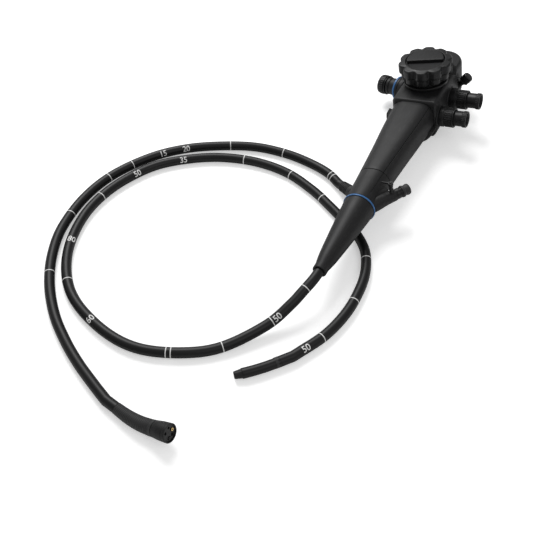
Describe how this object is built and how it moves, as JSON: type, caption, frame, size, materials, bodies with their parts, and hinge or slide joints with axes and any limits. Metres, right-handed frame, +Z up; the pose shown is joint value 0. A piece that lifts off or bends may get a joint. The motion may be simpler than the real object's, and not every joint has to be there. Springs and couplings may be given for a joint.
{
  "type": "flexible endoscope",
  "caption": "Black flexible endoscope: control body with two angulation knobs and two valves, looped insertion tube, crossed-hinge bending tip, umbilical cord and connector.",
  "frame": {"origin": "on the table, centred under the control body (its casing, valves, light post and boot, without the cords)", "axes": "+Y along the grip from the boot to the rear of the head, +X towards the valve buttons, +Z up from the table"},
  "size_m": [0.3046, 0.5197, 0.075],
  "materials": {
    "casing": "satin black moulding",
    "knob": "satin black moulding",
    "rubber": "matt black",
    "tube": "smooth black polymer sheath",
    "blue": "blue moulding",
    "steel": "fine brushed",
    "brass": "gold-plated",
    "board": "green laminate",
    "glass": "polished",
    "sleeve": "grey braid in a clear sleeve"
  },
  "bodies": {
    "control_body": {"air_cylinder": "knob", "air_spring": "steel", "back_cover": "casing", "biopsy_port": "knob", "boot_ring": "blue", "branch_housing": "casing", "chassis_plate": "steel", "connector_flare": "rubber", "connector_insert": "rubber", "connector_nozzle": "rubber", "connector_pin": "brass", "connector_shell": "casing", "cover_screw_1": "steel", "cover_screw_2": "steel", "cover_screw_3": "steel", "cover_screw_4": "steel", "flush_nozzle": "knob", "grip_shell_left": "casing", "grip_shell_right": "casing", "head_housing": "casing", "image_board": "board", "insertion_tube": "tube", "knob_collar": "knob", "light_bundle": "sleeve", "light_post": "casing", "light_post_ring": "blue", "strain_boot": "casing", "suction_cylinder": "knob", "suction_pipe": "sleeve", "suction_spring": "steel", "tube_coupling": "rubber", "umbilical_cord": "tube", "umbilical_relief": "rubber", "underside_rest": "rubber", "vent_nipple": "casing", "wire_stay": "steel"},
    "ud_control": {"ud_knob": "knob", "ud_drum": "steel"},
    "lr_control": {"lr_knob": "knob", "lr_drum": "steel"},
    "lr_brake": {"lr_brake_disc": "knob"},
    "ud_brake": {"ud_brake_lever": "knob"},
    "suction_push": {"suction_button": "knob"},
    "air_push": {"air_button": "knob"},
    "post_cap": {"light_post_cap": "knob"},
    "vent_seal": {"vent_cap": "knob"},
    "port_cap": {"biopsy_cap": "rubber"},
    "flush_tap": {"flush_lever": "knob"},
    "link_1": {"bending_link_1": "steel"},
    "link_2": {"bending_link_2": "steel"},
    "link_3": {"bending_link_3": "steel"},
    "link_4": {"bending_link_4": "steel"},
    "link_5": {"bending_link_5": "steel"},
    "tip": {"distal_tip": "casing", "tip_lens": "glass", "tip_light_left": "glass", "tip_light_right": "glass"}
  },
  "joints": [
    {"name": "up_down_turn", "type": "hinge", "parent": "control_body", "child": "ud_control", "pos_m": [0.00038, 0.1013, 0.025], "axis": [-0.2079, 0, 0.9781], "range_deg": [-88, 120]},
    {"name": "left_right_turn", "type": "hinge", "parent": "control_body", "child": "lr_control", "pos_m": [0.00038, 0.1013, 0.025], "axis": [-0.2079, 0, 0.9781], "range_deg": [-88, 88]},
    {"name": "left_right_brake", "type": "hinge", "parent": "control_body", "child": "lr_brake", "pos_m": [-0.00793, 0.1013, 0.06413], "axis": [-0.2079, 0, 0.9781], "range_deg": [0, 60]},
    {"name": "up_down_brake", "type": "hinge", "parent": "control_body", "child": "ud_brake", "pos_m": [-0.00481, 0.1013, 0.04945], "axis": [-0.2079, 0, 0.9781], "range_deg": [0, 35]},
    {"name": "suction_press", "type": "slide", "parent": "control_body", "child": "suction_push", "axis": [-0.9781, 0, -0.2079], "range_m": [0, 0.005], "stiffness_N_per_m": 300},
    {"name": "air_press", "type": "slide", "parent": "control_body", "child": "air_push", "axis": [-0.9781, 0, -0.2079], "range_m": [0, 0.005], "stiffness_N_per_m": 300},
    {"name": "light_cap_turn", "type": "hinge", "parent": "control_body", "child": "post_cap", "pos_m": [-0.02892, 0.1054, 0.02491], "axis": [-0.9568, 0.2079, -0.2034], "range_deg": [0, 60]},
    {"name": "vent_cap_turn", "type": "hinge", "parent": "control_body", "child": "vent_seal", "pos_m": [0.02069, 0.1349, 0.02277], "axis": [0.5075, 0.1123, 0.8543], "range_deg": [0, 90]},
    {"name": "biopsy_cap_pull", "type": "slide", "parent": "control_body", "child": "port_cap", "axis": [0.5887, 0.7986, 0.1251], "range_m": [0, 0.008]},
    {"name": "flush_turn", "type": "hinge", "parent": "control_body", "child": "flush_tap", "pos_m": [0.02168, -0.05609, 0.03443], "axis": [-0.2079, 0, 0.9781], "range_deg": [0, 90]},
    {"name": "up_down_bend_1", "type": "hinge", "parent": "control_body", "child": "link_1", "pos_m": [0.00284, -0.25277, 0.0049], "axis": [-0.717, 0.5827, -0.3827], "range_deg": [-22, 30]},
    {"name": "left_right_bend_1", "type": "hinge", "parent": "link_1", "child": "link_2", "pos_m": [-0.00019, -0.25649, 0.0049], "axis": [-0.2901, 0.2495, 0.9239], "range_deg": [-22, 22]},
    {"name": "up_down_bend_2", "type": "hinge", "parent": "link_2", "child": "link_3", "pos_m": [-0.00332, -0.26013, 0.0049], "axis": [-0.6833, 0.6218, -0.3827], "range_deg": [-22, 30]},
    {"name": "left_right_bend_2", "type": "hinge", "parent": "link_3", "child": "link_4", "pos_m": [-0.00655, -0.26368, 0.0049], "axis": [-0.2757, 0.2654, 0.9239], "range_deg": [-22, 22]},
    {"name": "up_down_bend_3", "type": "hinge", "parent": "link_4", "child": "link_5", "pos_m": [-0.00988, -0.26714, 0.0049], "axis": [-0.6476, 0.659, -0.3827], "range_deg": [-22, 30]},
    {"name": "left_right_bend_3", "type": "hinge", "parent": "link_5", "child": "tip", "pos_m": [-0.0133, -0.2705, 0.0049], "axis": [-0.2605, 0.2803, 0.9239], "range_deg": [-22, 22]}
  ],
  "couplings": [
    {"joint": "up_down_bend_1", "follows": "up_down_turn", "ratio": 0.25},
    {"joint": "left_right_bend_1", "follows": "left_right_turn", "ratio": 0.25},
    {"joint": "up_down_bend_2", "follows": "up_down_turn", "ratio": 0.25},
    {"joint": "left_right_bend_2", "follows": "left_right_turn", "ratio": 0.25},
    {"joint": "up_down_bend_3", "follows": "up_down_turn", "ratio": 0.25},
    {"joint": "left_right_bend_3", "follows": "left_right_turn", "ratio": 0.25}
  ]
}
